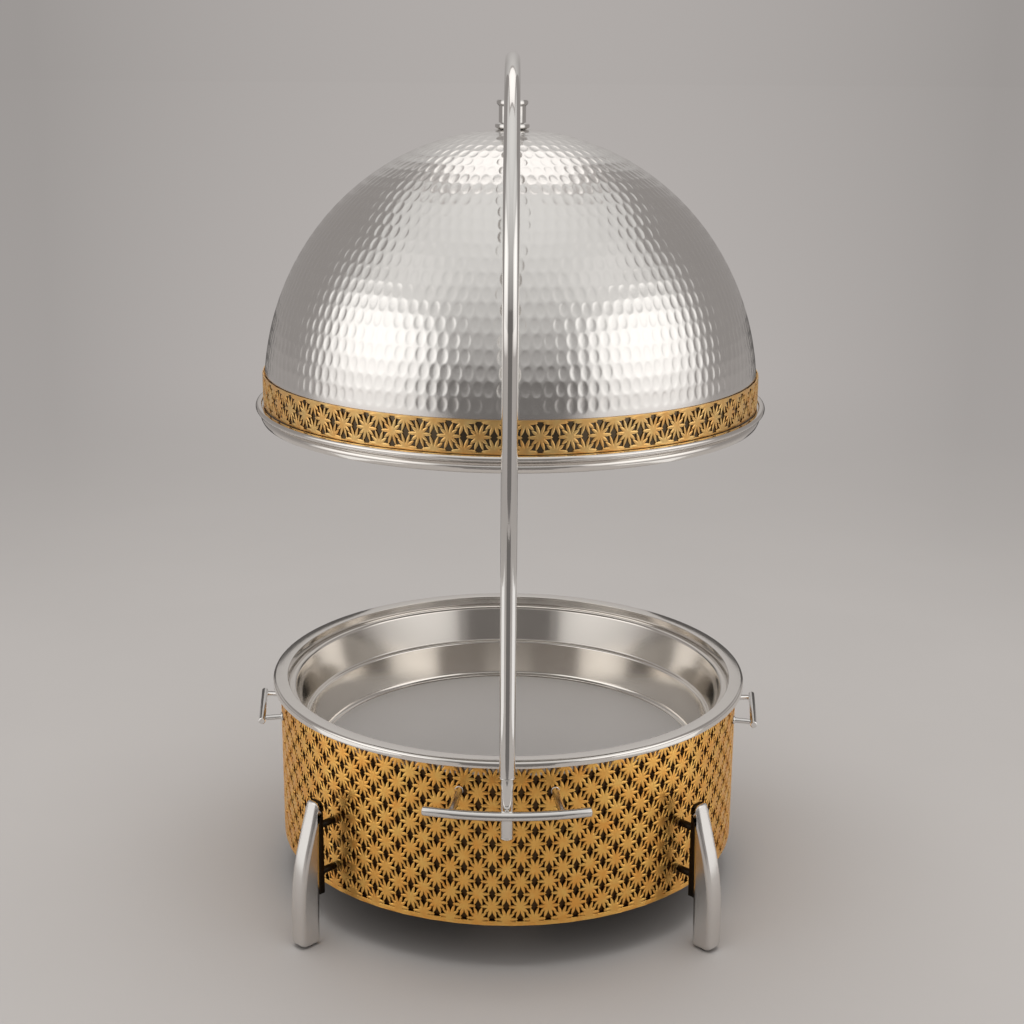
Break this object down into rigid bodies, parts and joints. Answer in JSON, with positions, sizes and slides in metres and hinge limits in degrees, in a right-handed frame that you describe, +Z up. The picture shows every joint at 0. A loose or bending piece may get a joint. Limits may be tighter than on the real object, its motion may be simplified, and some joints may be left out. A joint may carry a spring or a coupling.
{
  "type": "round chafing dish",
  "caption": "Round chafing dish on curved legs with a pierced gold drum, lift-out pans, a spirit burner and a hammered dome lid hung from a swan-neck cane.",
  "frame": {"origin": "on the table under the bowl's axis", "axes": "+Z up; the cane and the front bar stand on the -Y side; +X to the right seen from the front"},
  "size_m": [0.4714, 0.479, 0.7545],
  "materials": {
    "polished_steel": "mirror-polished stainless steel",
    "pan_steel": "polished pan walls with a fine-brushed matt floor",
    "hammered_steel": "polished stainless steel hammered all over with upright oval dimples",
    "satin_steel": "satin-brushed stainless steel",
    "bracket_steel": "polished stainless steel",
    "screw_steel": "plain zinc-plated steel",
    "gold_band": "warm gold-coated sheet, satin, pierced with a lattice of ten-petal stars",
    "glide_nylon": "dark grey nylon",
    "can_paint": "plain red enamel",
    "can_tin": "bright tinplate",
    "knob_plastic": "black heat-proof plastic"
  },
  "bodies": {
    "base": {"drum": "polished_steel", "gold_band": "gold_band", "drum_base_ring": "polished_steel", "leg_front_left": "satin_steel", "leg_front_right": "satin_steel", "leg_rear_left": "satin_steel", "leg_rear_right": "satin_steel", "bracket_front_left": "bracket_steel", "bracket_front_right": "bracket_steel", "bracket_rear_left": "bracket_steel", "bracket_rear_right": "bracket_steel", "leg_screws": "screw_steel", "foot_glides": "glide_nylon", "left_handle_bar": "polished_steel", "right_handle_bar": "polished_steel", "left_handle_posts": "polished_steel", "right_handle_posts": "polished_steel", "front_bar": "polished_steel", "front_bar_posts": "polished_steel", "handle_screws": "screw_steel", "cane_spigot": "polished_steel", "spigot_plug": "polished_steel", "thrust_collar": "polished_steel", "fuel_bridge": "satin_steel", "bridge_screws": "screw_steel", "burner_cup": "satin_steel", "fuel_can": "can_paint", "fuel_can_lid": "can_tin", "cover_pivot": "polished_steel"},
    "water_pan": {"water_pan": "polished_steel"},
    "food_pan": {"food_pan": "pan_steel"},
    "burner_cover": {"burner_cover": "polished_steel", "cover_knob": "knob_plastic"},
    "cane": {"cane_tube": "polished_steel", "cane_bush": "polished_steel"},
    "swivel": {"swivel_pin": "polished_steel", "catch_ring": "screw_steel"},
    "lid": {"lid_hub": "polished_steel", "hub_washer": "polished_steel", "hub_nut": "polished_steel", "lid_dome": "hammered_steel", "lid_band": "gold_band", "lid_rim": "polished_steel"}
  },
  "joints": [
    {"name": "post_swivel", "type": "hinge", "parent": "base", "child": "cane", "pos_m": [0, -0.238, 0.19], "axis": [0, 0, 1], "continuous": true},
    {"name": "lid_spin", "type": "hinge", "parent": "cane", "child": "swivel", "pos_m": [0, 0, 0.72], "axis": [0, 0, 1], "continuous": true},
    {"name": "lid_unhook", "type": "slide", "parent": "swivel", "child": "lid", "axis": [0, 0, -1], "range_m": [0, 0.035]},
    {"name": "water_pan_lift", "type": "slide", "parent": "base", "child": "water_pan", "axis": [0, 0, 1], "range_m": [0, 0.11]},
    {"name": "food_pan_lift", "type": "slide", "parent": "water_pan", "child": "food_pan", "axis": [0, 0, 1], "range_m": [0, 0.095]},
    {"name": "burner_cover_swing", "type": "hinge", "parent": "base", "child": "burner_cover", "pos_m": [0, 0.056, 0.066], "axis": [0, 0, 1], "range_deg": [0, 110]}
  ]
}
